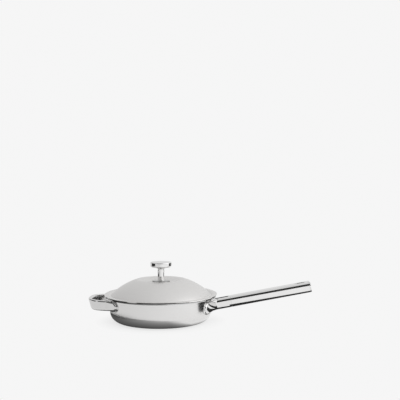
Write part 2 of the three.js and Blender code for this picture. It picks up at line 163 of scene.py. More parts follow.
# mirror polish: faint smears in the roughness and a slow waviness
def polishedSteel(name, finish):
    material, wire = newMaterial(name)
    place = wire.node("ShaderNodeTexCoord", {}, {}, "Object")
    smear = wire.noise(place, finish["smearScale"], finish["smearDetail"])
    wave = wire.noise(place, finish["waveScale"], finish["waveDetail"])
    tone = wire.mixed(smear, grey(finish["dark"], finish["warm"]), grey(finish["light"], finish["warm"]))
    rough = smear * smear * finish["roughSpread"] + finish["rough"]
    bump = wire.node("ShaderNodeBump", {}, {
        "Strength": 1.0, "Distance": finish["waveHeight"], "Height": wave})
    surface = wire.node("ShaderNodeBsdfPrincipled", {}, {
        "Base Color": tone, "Metallic": 1.0, "Roughness": rough, "Normal": bump})
    wire.node("ShaderNodeOutputMaterial", {}, {"Surface": surface})
    return material


# finishes: tones are linear, scales and lines are per metre, and groove, waveHeight, burnishFrom and
# burnishRun are metres; burnish is the roughness near the rim
panFinish = {"dark": 0.72, "light": 0.8, "warm": 0.006, "climb": 1.0, "arc": 2.5, "lines": 1400.0,
             "lineDetail": 2.0, "lineShare": 0.6, "cloudScale": 16.0, "cloudDetail": 3.0,
             "rough": 0.12, "roughSpread": 0.08, "roughCloud": 0.05, "groove": 0.00003,
             "burnish": 0.07, "burnishFrom": 0.1256, "burnishRun": 0.0016}
lidFinish = dict(panFinish, dark=0.71, light=0.79, warm=0.009, climb=-1.0, rough=0.28,
                 burnishFrom=0.1352, burnishRun=0.0006)
cookFinish = dict(panFinish, dark=0.6, light=0.7, lines=700.0, rough=0.2)
coreFinish = dict(panFinish, dark=0.55, light=0.63, warm=-0.004, rough=0.38)
screwFinish = dict(panFinish, dark=0.5, light=0.6, lines=3000.0, rough=0.22)
polishFinish = {"dark": 0.76, "light": 0.82, "warm": 0.004, "rough": 0.045, "roughSpread": 0.08,
                "smearScale": 42.0, "smearDetail": 4.0, "waveScale": 38.0, "waveDetail": 1.0,
                "waveHeight": 0.00004}
# painted shade: the helper handle and its weld plates get a darker copy of the same polish
helperShadedFinish = dict(polishFinish, dark=0.69, light=0.75)
# painted shade: the knob's base gets a much darker copy of the polish, painting in the dark reflections round
# the knob's foot
knobBaseShadedFinish = dict(polishFinish, dark=0.3, light=0.36)
panSteel = spunSteel("satinPan", panFinish)
lidSteel = spunSteel("satinLid", lidFinish)
cookSteel = spunSteel("satinCooking", cookFinish)
coreMetal = spunSteel("coreAluminium", coreFinish)
screwSteel = spunSteel("screwSteel", screwFinish)
polish = polishedSteel("polishedSteel", polishFinish)
helperShadedPolish = polishedSteel("polishedHelperPaintedShade", helperShadedFinish)
knobBaseShadedPolish = polishedSteel("polishedKnobBasePaintedShade", knobBaseShadedFinish)
print("materials made")


# eased step: 3 a^2 - 2 a^3 between 0 and 1
def smooth(amount):
    amount = np.clip(amount, 0, 1)
    return amount * amount * (3 - 2 * amount)


# line through (radius, height, rounding) corners, each rounding a tangent arc with a point every few degrees
def roundedLine(corners, step=5):
    corners = np.array(corners, float)
    places = corners[:, :2]
    line = [places[:1]]
    for before, corner, after, size in zip(places, places[1:], places[2:], corners[1:, 2]):
        enter = (corner - before) / np.linalg.norm(corner - before)
        leave = (after - corner) / np.linalg.norm(after - corner)
        turn = math.atan2(enter[0] * leave[1] - enter[1] * leave[0], enter @ leave)
        side = np.array([-enter[1], enter[0]]) * np.sign(turn) * size
        sweep = np.linspace(0, abs(turn), 1 + math.ceil(abs(math.degrees(turn)) / step))[:, None]
        start = corner - enter * size * math.tan(abs(turn) / 2)
        arc = start + side * (1 - np.cos(sweep)) + enter * size * np.sin(sweep)
        line.append(arc if size else corner[None])
    line.append(places[-1:])
    return np.concatenate(line)


# arc: centre plus radius times (cos a, sin a), with a in degrees from start to end
def arcLine(centreX, centreZ, radius, start, end, step=3):
    turn = np.radians(np.linspace(start, end, 1 + math.ceil(abs(end - start) / step)))
    return np.stack([centreX + radius * np.cos(turn), centreZ + radius * np.sin(turn)], 1)


# cubic curve: sum of the four points weighted by (1-u)^3, 3u(1-u)^2, 3u^2(1-u) and u^3
def curveLine(first, second, third, last, count):
    u = np.linspace(0, 1, count)[:, None]
    first, second, third, last = (np.array(point, float) for point in (first, second, third, last))
    return (1 - u) ** 3 * first + 3 * u * (1 - u) ** 2 * second + 3 * u ** 2 * (1 - u) * third + u ** 3 * last


# extra points on long straight runs, so that smooth shading follows the true shape
def densify(line, spacing):
    runs = np.maximum(1, np.ceil(np.linalg.norm(np.diff(line, axis=0), axis=1) / spacing))
    knots = np.concatenate([[0], np.cumsum(runs)])
    steps = np.arange(int(knots[-1]) + 1)
    return np.stack([np.interp(steps, knots, line[:, axis]) for axis in (0, 1)], 1)


# the line moved to its left along mitred normals
def beside(line, distance):
    along = np.diff(line, axis=0)
    along = along / np.linalg.norm(along, axis=1)[:, None]
    normals = np.stack([-along[:, 1], along[:, 0]], 1)
    before = np.vstack([normals[:1], normals])
    after = np.vstack([normals, normals[-1:]])
    return line + distance * (before + after) / (1 + np.sum(before * after, 1))[:, None]


# quads over a grid of points numbered row by row, joined round where a direction is closed
def gridFaces(rows, columns, closeRows, closeColumns):
    row = np.arange(rows if closeRows else rows - 1)[:, None]
    column = np.arange(columns if closeColumns else columns - 1)[None]
    nextRow, nextColumn = (row + 1) % rows * columns, (column + 1) % columns
    row = row * columns
    corners = [row + column, row + nextColumn, nextRow + nextColumn, nextRow + column]
    return np.stack(np.broadcast_arrays(*corners), -1).reshape(-1, 4).tolist()


# profile of (radius, height) carried round Z: x = r cos a, y = r sin a, z = height;
# a shape factor may change r with a
def revolve(profile, turns, shape=None):
    angle = np.arange(turns) * 2 * np.pi / turns
    poles = profile[0, 0] == 0
    rows = profile[1:-1] if poles else profile
    radius = rows[:, :1] * (np.ones((1, turns)) if shape is None else shape(rows, angle))
    height = np.broadcast_to(rows[:, 1:], radius.shape)
    points = np.stack([radius * np.cos(angle), radius * np.sin(angle), height], -1).reshape(-1, 3)
    faces = gridFaces(len(rows), turns, not poles, True)
    if poles:
        ends = np.array([[0, 0, profile[0, 1]], [0, 0, profile[-1, 1]]])
        here = np.arange(turns)
        after, last = (here + 1) % turns, (len(rows) - 1) * turns
        faces += np.stack([np.full(turns, len(points)), after, here], 1).tolist()
        faces += np.stack([np.full(turns, len(points) + 1), last + here, last + after], 1).tolist()
        points = np.vstack([points, ends])
    return points, faces


# mesh from points in mm, with seams merged and faces turned outwards, on its body and in place of its node
def addPiece(name, node, body, slot, material, points, faces, crease=32):
    mesh = bpy.data.meshes.new(name)
    mesh.from_pydata((points * 0.001).tolist(), [], faces)  # mm to metres
    build = bmesh.new()
    build.from_mesh(mesh)
    bmesh.ops.remove_doubles(build, verts=build.verts, dist=2e-6)
    bmesh.ops.recalc_face_normals(build, faces=build.faces)
    build.to_mesh(mesh)
    build.free()
    mesh.shade_smooth()
    mesh.set_sharp_from_angle(angle=math.radians(crease))
    mesh.materials.append(material)
    piece = bpy.data.objects.new(name, mesh)
    bpy.context.scene.collection.objects.link(piece)
    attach(piece, body)
    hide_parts(node)
    return piece


# pan body: base, corner arc, leaning wall, lip rolled over on an arc and its short end;
# three sheets lie inside that line
panBody = {"baseRadius": 97.0, "cornerRadius": 26.0, "wallLean": 3.0, "wallTop": 56.5, "lipCurl": 5.0,
           "lipTurn": 114.0, "lipReach": 2.5, "outerSteel": 0.6, "core": 1.55, "innerSteel": 0.6,
           "gap": 0.05, "spacing": 2.5, "lipStep": 6.0, "turns": 200}


# centre of the lip's arc: square to the leaning wall at its top, one curl radius outwards
def lipCentre(pan):
    lean, corner = math.radians(pan["wallLean"]), pan["cornerRadius"]
    topX = pan["baseRadius"] + corner * math.cos(lean)
    topX += (pan["wallTop"] - corner * (1 - math.sin(lean))) * math.tan(lean)
    return topX + pan["lipCurl"] * math.cos(lean), pan["wallTop"] - pan["lipCurl"] * math.sin(lean)


# outer line: base from the axis, corner arc, wall up to the lip's arc, and a straight end on its heading
def panLine(pan):
    corner = arcLine(pan["baseRadius"], pan["cornerRadius"], pan["cornerRadius"], -90, -pan["wallLean"])
    curlFrom = 180 - pan["wallLean"]
    lip = arcLine(*lipCentre(pan), pan["lipCurl"], curlFrom, curlFrom - pan["lipTurn"], pan["lipStep"])
    heading = math.radians(pan["wallLean"] + pan["lipTurn"])
    end = lip[-1] + pan["lipReach"] * np.array([math.sin(heading), math.cos(heading)])
    return densify(np.vstack([[0, 0], corner, lip, end]), pan["spacing"])


# section of one sheet: the line moved by its start, and back along the line moved by its end
def sheetProfile(line, start, end):
    profile = np.vstack([beside(line, start), beside(line, end)[::-1]])
    profile[[0, -1], 0] = 0
    return profile


panOutline = panLine(panBody)
coreFrom = panBody["outerSteel"] + panBody["gap"]
skinFrom = coreFrom + panBody["core"] + panBody["gap"]
for name, node, slot, material, start, thickness in (
        ("panOuterShell", "pan_outer_shell", "satin_steel", panSteel, 0.0, panBody["outerSteel"]),
        ("panCore", "pan_core", "core_aluminium", coreMetal, coreFrom, panBody["core"]),
        ("panCookingSkin", "pan_cooking_skin", "cooking_steel", cookSteel, skinFrom, panBody["innerSteel"])):
    profile = sheetProfile(panOutline, start, start + thickness)
    addPiece(name, node, "pan", slot, material, *revolve(profile, panBody["turns"]))
print("pan body made")

# lid: heights above the brim's top; knob seat, dish, dome, locating bead, brim and turned edge
lidBody = {"thickness": 1.0, "seatRadius": 24.0, "dishHeight": 28.5, "dishReach": 14.0, "ridgeRadius": 58.4,
           "ridgeHeight": 34.9, "domeReach": 5.0, "footReach": 20.5, "footRise": 22.8, "beadRadius": 120.6,
           "beadDepth": 2.0, "beadTurn": 0.08, "beadReach": 4.0, "brimInner": 128.0, "edge": 2.4, "drop": 1.8,
           "bevel": 0.27, "edgeRound": 0.6, "edgeStep": 8.0, "hole": 3.1, "dishSteps": 22, "domeSteps": 56,
           "beadSteps": 20, "spacing": 2.5, "turns": 200}


# top line from the knob's hole out to the edge, as three cubic curves and a rounded bevel
def lidLine(lid, rim):
    seat, ridge, bead, brim = lid["seatRadius"], lid["ridgeRadius"], lid["beadRadius"], lid["brimInner"]
    dish, top, low = lid["dishHeight"], lid["ridgeHeight"], -lid["beadDepth"]
    dishReach, reach, rise = lid["dishReach"], lid["footReach"], lid["footRise"]
    turned = (bead + lid["beadTurn"] * reach, low - lid["beadTurn"] * rise)
    dishLine = curveLine((seat, dish), (seat + dishReach, dish), (ridge - dishReach, top), (ridge, top),
                         lid["dishSteps"])
    domeLine = curveLine((ridge, top), (ridge + lid["domeReach"], top), (bead - reach, low + rise),
                         (bead, low), lid["domeSteps"])
    beadLine = curveLine((bead, low), turned, (brim - lid["beadReach"], 0), (brim, 0), lid["beadSteps"])
    edgeLine = roundedLine([(rim - lid["edge"], 0, 0), (rim - lid["bevel"], 0, lid["edgeRound"]),
                            (rim, -lid["drop"], 0)], lid["edgeStep"])
    line = np.vstack([[[lid["hole"], dish]], dishLine, domeLine[1:], beadLine[1:], edgeLine])
    return densify(line, lid["spacing"])


lidHigh = boxOf("lid_shell")[1]
brimTop = lidHigh[2] - lidBody["ridgeHeight"]
lidTop = lidLine(lidBody, lidHigh[0]) + [0, brimTop]
lidProfile = np.vstack([lidTop, beside(lidTop, -lidBody["thickness"])[::-1]])
addPiece("lidShell", "lid_shell", "lid", "satin_steel", lidSteel, *revolve(lidProfile, lidBody["turns"]))
print("lid made")

# knob: base disc, stem with a flare at each end and a pin, head with a swept underside, washer and screw
knob = {"bore": 3.1, "baseCrown": 0.4, "baseRim": 2.3, "baseEdge": 0.5, "stem": 8.0, "footFlare": 2.4,
        "headFlare": 3.0, "pin": 6.0, "pinLength": 6.0, "boreDepth": 14.0, "headSweep": 5.8, "headRise": 2.0,
        "headRound": 3.6, "headRim": 2.8, "rimShare": 0.95, "rimStep": 4.0, "headCrown": 0.4,
        "socketGap": 0.1, "land": 0.2, "sweepSteps": 28, "crownSteps": 16, "washerEdge": 0.3,
        "washerStep": 15.0, "washerTurns": 64, "spacing": 1.5, "headSpacing": 1.2, "turns": 128}
baseLow, baseHigh = boxOf("knob_base")
stemLow, stemHigh = boxOf("knob_stem")
headLow, headHigh = boxOf("knob_head")
rim, low, high = baseHigh[0], baseLow[2], baseHigh[2]
baseLine = roundedLine([
    (knob["bore"], low, 0), (rim, low, knob["baseEdge"]), (rim, high - knob["baseCrown"], knob["baseRim"]),
    (stemHigh[0], high, 0), (knob["bore"], high, 0)])
# the base uses the darker copy of the polish, which is painted shade
addPiece("knobBase", "knob_base", "lid", "polished_steel", knobBaseShadedPolish,
         *revolve(densify(baseLine, knob["spacing"]), knob["turns"]))

low, top = stemLow[2], stemHigh[2]
neck = top - knob["pinLength"]
boreTop, foot, shoulder = low + knob["boreDepth"], low + knob["land"], neck - knob["land"]
flareEdge = knob["stem"] + knob["footFlare"]
stemLine = roundedLine([
    (0, boreTop, 0), (knob["bore"], boreTop, 0), (knob["bore"], low, 0), (flareEdge, low, 0),
    (flareEdge, foot, 0), (knob["stem"], foot, knob["footFlare"]),
    (knob["stem"], shoulder, knob["headFlare"]), (stemHigh[0], shoulder, 0), (stemHigh[0], neck, 0),
    (knob["pin"], neck, 0), (knob["pin"], top, 0), (0, top, 0)])
addPiece("knobStem", "knob_stem", "lid", "polished_steel", polish,
         *revolve(densify(stemLine, knob["spacing"]), knob["turns"]))

rim, low, high = headHigh[0], headLow[2], headHigh[2]
inner = rim - knob["headRim"]
slope = 2 * knob["headCrown"] / inner
socket, socketTop = knob["pin"] + knob["socketGap"], low + knob["pinLength"] + knob["socketGap"]
sweep, rise = low + knob["headSweep"], low + knob["headRise"]
shoulder = high - knob["headCrown"]
underside = curveLine((stemHigh[0], low), (rim - knob["headRound"], rise), (rim, rise), (rim, sweep),
                      knob["sweepSteps"])
rimLine = roundedLine([(rim, sweep, 0),
                       (rim, shoulder - slope * knob["headRim"], knob["headRim"] * knob["rimShare"]),
                       (inner, shoulder, 0)], knob["rimStep"])
crown = np.linspace(inner, 0, knob["crownSteps"])[1:]
crownLine = np.stack([crown, high - (high - shoulder) * (crown / inner) ** 2], 1)
socketLine = [(0, socketTop), (socket, socketTop), (socket, low)]
headLine = np.vstack([socketLine, underside, rimLine[1:], crownLine])
addPiece("knobHead", "knob_head", "lid", "polished_steel", polish,
         *revolve(densify(headLine, knob["headSpacing"]), knob["turns"]))

washerLow, washerHigh = boxOf("knob_washer")
rim, low, high, edge = washerHigh[0], washerLow[2], washerHigh[2], knob["washerEdge"]
washerLine = roundedLine([(knob["bore"], low, 0), (rim, low, edge), (rim, high, edge),
                          (knob["bore"], high, 0)], knob["washerStep"])
addPiece("knobWasher", "knob_washer", "lid", "screw_steel", screwSteel,
         *revolve(washerLine, knob["washerTurns"]))

screw = {"shank": 2.8, "headHeight": 3.0, "tip": 1.0, "hexHalf": 1.75, "hexDepth": 1.8,
         "recessLip": 1.3, "rounding": 1.6, "step": 10.0, "turns": 72}
screwLow, screwHigh = boxOf("knob_screw")
rim, low, high = screwHigh[0], screwLow[2], screwHigh[2]
seat, recess = low + screw["headHeight"], low + screw["hexDepth"]
screwLine = roundedLine([
    (0, recess, 0), (screw["hexHalf"], recess, 0), (screw["hexHalf"], low, 0),
    (screw["hexHalf"] * screw["recessLip"], low, 0), (rim, low, screw["rounding"]), (rim, seat, 0),
    (screw["shank"], seat, 0), (screw["shank"], high - screw["tip"], 0),
    (screw["shank"] - screw["tip"], high, 0), (0, high, 0)], screw["step"])


# the recess has six flats: its radius is the half width over the cosine of the angle from the middle
# of the nearest flat
def hexRecess(rows, angle):
    flat = 1 / np.cos((angle + np.pi / 6) % (np.pi / 3) - np.pi / 6)
    return np.where(rows[:, :1] <= screw["hexHalf"] + 1e-6, flat[None], 1.0)


addPiece("knobScrew", "knob_screw", "lid", "screw_steel", screwSteel,
         *revolve(screwLine, screw["turns"], hexRecess))
print("knob made")

# feet of both handles: straight edge, convex rim, then a concave fillet out to the band or bar
wallFoot = panOutline[np.argmin(np.abs(panOutline[:, 1] - panBody["cornerRadius"]))]
weld = {"gap": 0.1, "plate": 1.2, "footGap": 0.2, "margin": 1.5, "edgeShare": 0.6, "edgeInset": 0.45,
        "rimSteps": 9, "filletSteps": 25, "around": 96}
seatGap = weld["gap"] + weld["plate"] + weld["footGap"]


# distance in X from the axis to a face that lies outside the wall, and inside the lip's arc, by a gap
def wallX(y, z, gap):
    curlX, curlZ = lipCentre(panBody)
    straight = wallFoot[0] + (z - wallFoot[1]) * math.tan(math.radians(panBody["wallLean"])) + gap
    curl = curlX - np.sqrt(np.maximum((panBody["lipCurl"] - gap) ** 2 - (z - curlZ) ** 2, 0))
    return np.sqrt(np.where(z > panBody["wallTop"], curl, straight) ** 2 - y ** 2)


# a foot by distance out from the wall: the inset of its rim, and how much of its flare is left; both are
# quarter arcs, and the flare is raised to a sweep power
def footTable(foot):
    convex = np.radians(np.linspace(0, 90, weld["rimSteps"]))
    concave = np.radians(np.linspace(90, 0, weld["filletSteps"]))[1:]
    out = np.concatenate([[0], foot["edge"] + foot["rim"] * np.sin(convex),
                          foot["edge"] + foot["rim"] + foot["fillet"] * (1 - np.sin(concave))])
    inset = np.concatenate([[0], foot["rim"] * (1 - np.cos(convex)), np.full(len(concave), foot["rim"])])
    flare = np.concatenate([np.ones(1 + len(convex)), (1 - np.cos(concave)) ** foot["sweep"]])
    return out, inset, flare


# closed ring ladder: quads between points that share a side distance, so that a curved end stays on its face
def ladderFaces(count, start):
    k = np.arange(1, count // 2 - 1)
    quads = np.stack([k, k + 1, count - k - 1, count - k], 1) + start
    half = count // 2
    ends = np.array([[0, 1, count - 1], [half, half + 1, half - 1]]) + start
    return quads.tolist() + ends.tolist()


# a signed power, which squares off the sine and cosine of a circle
def squared(value, power):
    return np.sign(value) * np.abs(value) ** power


# plate on the wall: a squared-off ellipse in y and z, and x follows the wall at each thickness
def weldPlate(side, offset, height, halfWidth, halfHeight, section):
    turn = np.arange(weld["around"]) * 2 * np.pi / weld["around"]
    halfWidth, halfHeight = halfWidth + weld["margin"], halfHeight + weld["margin"]
    levels = (weld["gap"] + weld["plate"] * np.array([0.0, weld["edgeShare"], 1.0]))[:, None]
    inset = np.array([0.0, 0.0, weld["edgeInset"]])[:, None]
    y = offset + (halfWidth - inset) * squared(np.cos(turn), 2 / section)
    z = height + (halfHeight - inset) * squared(np.sin(turn), 2 / section)
    points = np.stack([side * wallX(y, z, levels), y, z], -1).reshape(-1, 3)
    count = weld["around"]
    faces = gridFaces(3, count, False, True) + ladderFaces(count, 0) + ladderFaces(count, 2 * count)
    return points, faces


# helper loop: in plan x = start + reach |cos t|^(2/n), y = offset sin t likewise; the section is a
# squared-off ellipse that leans outwards at the far end
helper = {"height": 43.3, "tilt": 2.5, "lean": 16.0, "start": 112.0, "end": 167.05, "squareness": 3.2,
          "halfThickness": 4.2, "halfHeight": 11.8, "section": 6.5, "offset": 50.0, "footRise": 1.0,
          "footHalfWidth": 30.0, "footHalfHeight": 14.0, "footSection": 2.4, "edge": 0.6, "rim": 3.6,
          "fillet": 9.0, "sweep": 1.1, "bend": 88, "around": 72, "crease": 60}


def helperMesh(loop):
    out, inset, flare = footTable(loop)
    reach, n = loop["end"] - loop["start"], loop["squareness"]
    footX = wallX(loop["offset"], loop["height"] + loop["footRise"], seatGap)
    armX = footX + out
    armY = loop["offset"] * (1 - np.maximum((armX - loop["start"]) / reach, 0) ** n) ** (1 / n)
    bendFrom = math.acos(((armX[-1] - loop["start"]) / reach) ** (n / 2))
    turn = np.linspace(-bendFrom, bendFrom, loop["bend"] + 1)[1:-1]
    bendX = loop["start"] + reach * squared(np.cos(turn), 2 / n)
    bendY = loop["offset"] * squared(np.sin(turn), 2 / n)
    pathX = np.concatenate([armX, bendX, armX[::-1]])
    pathY = np.concatenate([-armY, bendY, armY[::-1]])
    zero = np.zeros(len(turn))
    flare, inset = (np.concatenate([part, zero, part[::-1]])[:, None] for part in (flare, inset))
    follow = np.concatenate([1 - smooth((out - loop["edge"] - loop["rim"]) / loop["fillet"]), zero])
    follow = np.concatenate([follow, follow[:len(out)][::-1]])[:, None]
    alongX, alongY = np.gradient(pathX), np.gradient(pathY)
    length = np.hypot(alongX, alongY)
    alongX, alongY = (alongX / length)[:, None], (alongY / length)[:, None]
    full = np.array([loop["footHalfWidth"], loop["footHalfHeight"]])
    thin = np.array([loop["halfThickness"], loop["halfHeight"]])
    filleted = np.where(flare < 1, thin + (full - loop["rim"] - thin) * flare, full - inset)
    power = 2 / (loop["section"] + (loop["footSection"] - loop["section"]) * flare)
    turn = np.arange(loop["around"]) * 2 * np.pi / loop["around"]
    across = squared(np.cos(turn), power) * filleted[:, :1]
    up = squared(np.sin(turn), power) * filleted[:, 1:]
    pathX, pathY = pathX[:, None], pathY[:, None]
    y = pathY + alongX * across
    climb = (pathX - loop["start"]) * math.tan(math.radians(loop["tilt"]))
    z = loop["height"] + climb + loop["footRise"] * flare + up
    lean = math.tan(math.radians(loop["lean"])) * alongY ** 2 * (1 - flare)
    x = pathX - alongY * across + lean * up + follow * (wallX(y, z, seatGap) - footX)
    points = np.stack([-x, y, z], -1).reshape(-1, 3)
    rows, count = len(pathX), loop["around"]
    ends = ladderFaces(count, 0) + ladderFaces(count, (rows - 1) * count)
    return points, gridFaces(rows, count, False, True) + ends


# the helper handle and its plates use the darker copy of the polish, which is painted shade
addPiece("helperLoop", "helper_loop", "pan", "polished_steel", helperShadedPolish, *helperMesh(helper),
         helper["crease"])
for name, node, offset in (("helperPlateFront", "helper_plate_front", -helper["offset"]),
                           ("helperPlateRear", "helper_plate_rear", helper["offset"])):
    plate = weldPlate(-1, offset, helper["height"] + helper["footRise"], helper["footHalfWidth"],
                      helper["footHalfHeight"], helper["footSection"])
    addPiece(name, node, "pan", "polished_steel", helperShadedPolish, *plate)
print("helper handle made")

# long handle: lengths along its tilted axis from the wall; the neck bends so that the saddle stands level
handle = {"rootX": 123.0, "rootZ": 38.0, "tilt": 10.5, "halfWidth": 15.0, "halfHeight": 12.5,
          "edgeWidth": 5.0, "edgeHeight": 9.0, "bendStart": -4.0, "bendEnd": 17.0, "forkEnd": 48.0,
          "spigot": 16.0, "wall": 1.5, "gap": 0.3, "tubeEnd": 241.45, "chamfer": 0.4,
          "tubeRows": 24, "rowInset": 4.0, "crease": 40}
fork = {"saddleHalfWidth": 66.0, "saddleHalfHeight": 13.3, "tipWidth": 14.0, "tipHeight": 12.7, "edge": 0.6,
        "rim": 3.4, "fillet": 8.0, "sweep": 1.2, "plateSection": 5.0, "slotStart": 9.0, "slotEnd": 45.0,
        "slotHalf": 5.2, "tipFrom": 20.0, "tipRun": 40.0, "leastSide": 0.4, "tongueTip": 1.0,
        "tongueTaper": 0.8, "evenRows": (15, 41, 14), "endRows": (46, 47), "flat": 15}
hangingSlot = {"centre": 221.5, "length": 24.0, "width": 9.0, "wall": 1.5, "gap": 0.3, "rounding": 0.5,
               "roundingStep": 15.0, "seamStep": 0.5, "rows": 6, "arcSteps": 25}
endCap = {"thickness": 3.0, "rounding": 1.2, "spigot": 4.0, "steps": 8}


# a point s along, y across and h above the bar; behind bendEnd the bar runs on an arc, then level
def handlePlace(s, y, h):
    tilt = math.radians(handle["tilt"])
    radius = (handle["bendEnd"] - handle["bendStart"]) / tilt
    back = np.maximum(handle["bendEnd"] - s, 0)
    turn = np.minimum(back / radius, tilt)
    level = back - turn * radius
    along = np.maximum(s, handle["bendEnd"]) - (radius - h) * np.sin(turn) - level * np.cos(turn)
    up = radius * (1 - np.cos(turn)) + level * np.sin(turn) + h * np.cos(turn)
    x = handle["rootX"] + along * math.cos(tilt) - up * math.sin(tilt)
    z = handle["rootZ"] + along * math.sin(tilt) + up * math.cos(tilt)
    return np.stack(np.broadcast_arrays(x, y, z), -1)


# half of a rectangle with elliptical corners, from the top seam round the side to the bottom seam,
# one row per length
def halfSection(halfWidth, halfHeight, cornerWidth, cornerHeight, seam, flat=9, corner=10, side=4):
    sizes = np.broadcast_arrays(halfWidth, halfHeight, cornerWidth, cornerHeight, seam)
    halfWidth, halfHeight, cornerWidth, cornerHeight, seam = (np.reshape(size, (-1, 1)) for size in sizes)
    across = np.linspace(0, 1, flat)[None]
    turn = np.linspace(0, np.pi / 2, corner + 1)[None, 1:]
    down = 1 - 2 * np.arange(1, side + 1)[None] / (2 * side + 1)
    straight = halfWidth - cornerWidth
    upright = halfHeight - cornerHeight
    y = np.hstack([seam + (straight - seam) * across, straight + cornerWidth * np.sin(turn),
                   halfWidth + 0 * down])
    h = np.hstack([halfHeight + 0 * across, upright + cornerHeight * np.cos(turn), upright * down])
    return np.hstack([y, y[:, ::-1]]), np.hstack([h, -h[:, ::-1]])


# half width of a slot with round ends at a distance along the bar
def slotHalfWidth(s, start, end, half):
    past = np.maximum(np.maximum(start + half - s, s - end + half), 0)
    return np.where((s >= start) & (s <= end), np.sqrt(np.maximum(half ** 2 - past ** 2, 0)), 0.0)


# rows that crowd together towards a slot's round ends, by one less the cosine
def slotRows(start, end, half, count=9):
    swing = half * (1 - np.cos(np.linspace(0, np.pi / 2, count)))
    return np.concatenate([start + swing, end - swing])


# both halves of a solid bar from its half loops; where the slot is open a wall joins its top and bottom edges
def barMesh(points, opened):
    rows, count = points.shape[:2]
    row = np.arange(rows - 1)[opened[1:] | opened[:-1]] * count
    wall = np.stack([row + count - 1, row, row + count, row + 2 * count - 1], 1)
    j = np.arange(count // 2 - 1)
    cap = np.stack([j, j + 1, count - 2 - j, count - 1 - j], 1)
    faces = gridFaces(rows, count, False, False) + np.vstack([wall, cap, cap + (rows - 1) * count]).tolist()
    return mirrored(points.reshape(-1, 3), faces)


# both halves of a tube from outer and inner half loops; an open slot joins the two skins above and below
def tubeMesh(outer, inner, opened):
    rows, count = outer.shape[:2]
    skin = rows * count
    row = np.arange(rows - 1)[opened[1:] | opened[:-1]] * count
    seam = np.stack([row, row + count, row + count + skin, row + skin], 1)
    seams = [seam, seam + count - 1]
    j = np.arange(count - 1)
    ends = [np.stack([j, j + 1, j + 1 + skin, j + skin], 1) + k for k in (0, (rows - 1) * count)]
    grid = np.array(gridFaces(rows, count, False, False))
    faces = np.vstack([grid, grid + skin] + seams + ends).tolist()
    return mirrored(np.vstack([outer.reshape(-1, 3), inner.reshape(-1, 3)]), faces)


# the half and its reflection in the plane y = 0, with the reflection's faces turned round
def mirrored(points, faces):
    other = (np.array(faces)[:, ::-1] + len(points)).tolist()
    return np.vstack([points, points * [1, -1, 1]]), faces + other


# half loops of the plain bar at each length, drawn in by an inset
def barRows(s, inset, seam):
    y, h = halfSection(handle["halfWidth"] - inset, handle["halfHeight"] - inset,
                       handle["edgeWidth"] - inset, handle["edgeHeight"] - inset, seam)
    return handlePlace(np.broadcast_to(np.reshape(s, (-1, 1)), y.shape), y, h)


saddleZ = handlePlace(np.zeros(1), 0.0, 0.0)[0, 2]
saddleS = wallX(0.0, saddleZ, seatGap) - handlePlace(np.zeros(1), 0.0, 0.0)[0, 0]


# bar whose section widens by the foot's flare towards the wall, where x follows the wall; a tongue at its end
def forkMesh():
    out, inset, flare = footTable(fork)
    last = handle["forkEnd"]
    s = np.concatenate([out + saddleS, slotRows(fork["slotStart"], fork["slotEnd"], fork["slotHalf"]),
                        np.linspace(*fork["evenRows"]), fork["endRows"], [last - handle["chamfer"], last]])
    s = np.unique(np.round(s, 4))
    t = s - saddleS
    flare, inset = np.interp(t, out, flare, right=0), np.interp(t, out, inset)
    full = np.array([fork["saddleHalfWidth"], fork["saddleHalfHeight"]])
    thin = np.array([handle["halfWidth"], handle["halfHeight"]])
    flared = thin + (full - fork["rim"] - thin) * flare[:, None]
    size = np.where(flare[:, None] < 1, flared, full - inset[:, None])
    size[-1] -= handle["chamfer"]
    tip = smooth((size[:, 0] - fork["tipFrom"]) / fork["tipRun"])
    cornerWidth = handle["edgeWidth"] + (fork["tipWidth"] - handle["edgeWidth"]) * tip
    cornerHeight = handle["edgeHeight"] + (fork["tipHeight"] - handle["edgeHeight"]) * tip
    cornerHeight = np.minimum(cornerHeight, size[:, 1] - fork["leastSide"])
    seam = slotHalfWidth(s, fork["slotStart"], fork["slotEnd"], fork["slotHalf"])
    y, h = halfSection(size[:, 0], size[:, 1], cornerWidth, cornerHeight, seam, fork["flat"])
    body = handlePlace(np.broadcast_to(s[:, None], y.shape), y, h)
    follow = 1 - smooth((t - fork["edge"] - fork["rim"]) / fork["fillet"])[:, None]
    body[..., 0] += follow * (wallX(y, body[..., 2], seatGap) - wallX(0.0, saddleZ, seatGap))
    spigotInset = handle["wall"] + handle["gap"]
    tongue = last + np.array([0, handle["spigot"] - fork["tongueTip"], handle["spigot"]])
    drawnIn = spigotInset + np.array([0, 0, fork["tongueTaper"]])
    y, h = halfSection(handle["halfWidth"] - drawnIn, handle["halfHeight"] - drawnIn,
                       handle["edgeWidth"] - spigotInset, handle["edgeHeight"] - spigotInset, 0.0,
                       fork["flat"])
    end = handlePlace(np.broadcast_to(tongue[:, None], y.shape), y, h)
    return barMesh(np.concatenate([body, end]), np.concatenate([seam > 0, [False] * len(tongue)]))


addPiece("handleFork", "handle_fork", "pan", "polished_steel", polish, *forkMesh(), handle["crease"])
plate = weldPlate(1, 0.0, saddleZ, fork["saddleHalfWidth"], fork["saddleHalfHeight"], fork["plateSection"])
addPiece("forkSaddlePlate", "fork_saddle_plate", "pan", "polished_steel", polish, *plate)


